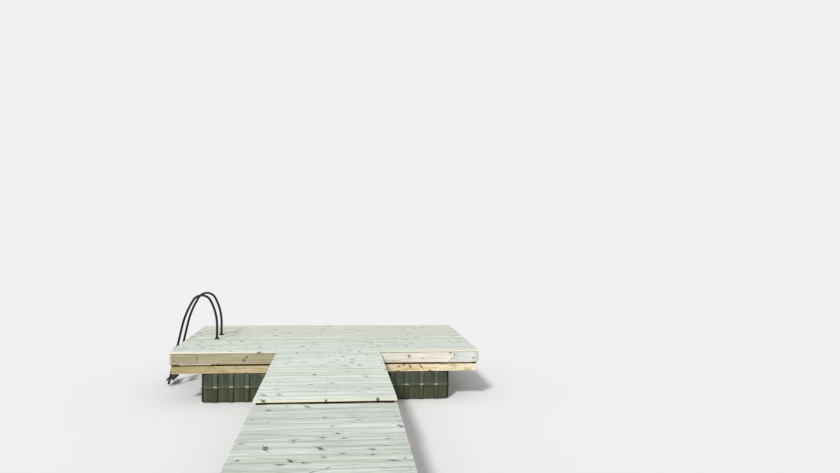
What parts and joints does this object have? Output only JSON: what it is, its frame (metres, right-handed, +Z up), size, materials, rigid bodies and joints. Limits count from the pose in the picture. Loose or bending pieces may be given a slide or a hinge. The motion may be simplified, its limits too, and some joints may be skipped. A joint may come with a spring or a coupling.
{
  "type": "wooden jetty",
  "caption": "T-shaped wooden jetty: a boarded platform on hollow ribbed floats, reached by a boarded walkway in bays on low trestles, with a bent-tube bathing ladder.",
  "frame": {"origin": "under the middle of the whole jetty, at the level of the floats' undersides", "axes": "+X to the right seen from the shore, +Y from the shore to the water along the walkway, +Z up"},
  "size_m": [4.4822, 9.9436, 1.3653],
  "materials": {
    "deck_boards": "weathered silver-grey sawn softwood",
    "edge_boards": "weathered pinkish cream softwood",
    "bearer_timber": "yellowed pressure-treated softwood",
    "frame_timber": "brown pressure-treated softwood",
    "float_plastic": "dull dark grey-green moulded plastic",
    "ladder_paint": "dark teal paint on steel tube"
  },
  "bodies": {
    "root": {"platform_deck": "deck_boards", "platform_joists": "frame_timber", "platform_noggings": "frame_timber", "front_fascia": "edge_boards", "back_fascia": "edge_boards", "left_fascia": "edge_boards", "right_fascia": "edge_boards", "front_bearer": "bearer_timber", "front_inner_bearer": "bearer_timber", "back_inner_bearer": "bearer_timber", "back_bearer": "bearer_timber", "front_left_float": "float_plastic", "front_right_float": "float_plastic", "back_left_float": "float_plastic", "back_right_float": "float_plastic", "walkway_ledger": "bearer_timber", "far_bay_deck": "deck_boards", "far_bay_stringers": "frame_timber", "far_bay_noggings": "frame_timber", "middle_bay_deck": "deck_boards", "middle_bay_stringers": "frame_timber", "middle_bay_noggings": "frame_timber", "shore_bay_deck": "deck_boards", "shore_bay_stringers": "frame_timber", "shore_bay_noggings": "frame_timber", "packing_strip": "frame_timber", "outer_trestle_cap": "bearer_timber", "outer_trestle_posts": "frame_timber", "outer_trestle_sill": "frame_timber", "outer_trestle_brace": "frame_timber", "inner_trestle_cap": "bearer_timber", "inner_trestle_posts": "frame_timber", "inner_trestle_sill": "frame_timber", "inner_trestle_brace": "frame_timber", "shore_trestle_cap": "bearer_timber", "shore_trestle_posts": "frame_timber", "shore_trestle_sill": "frame_timber", "ladder_front_rail": "ladder_paint", "ladder_back_rail": "ladder_paint", "ladder_treads": "ladder_paint", "ladder_foot_plates": "ladder_paint", "ladder_brackets": "ladder_paint"}
  },
  "joints": []
}
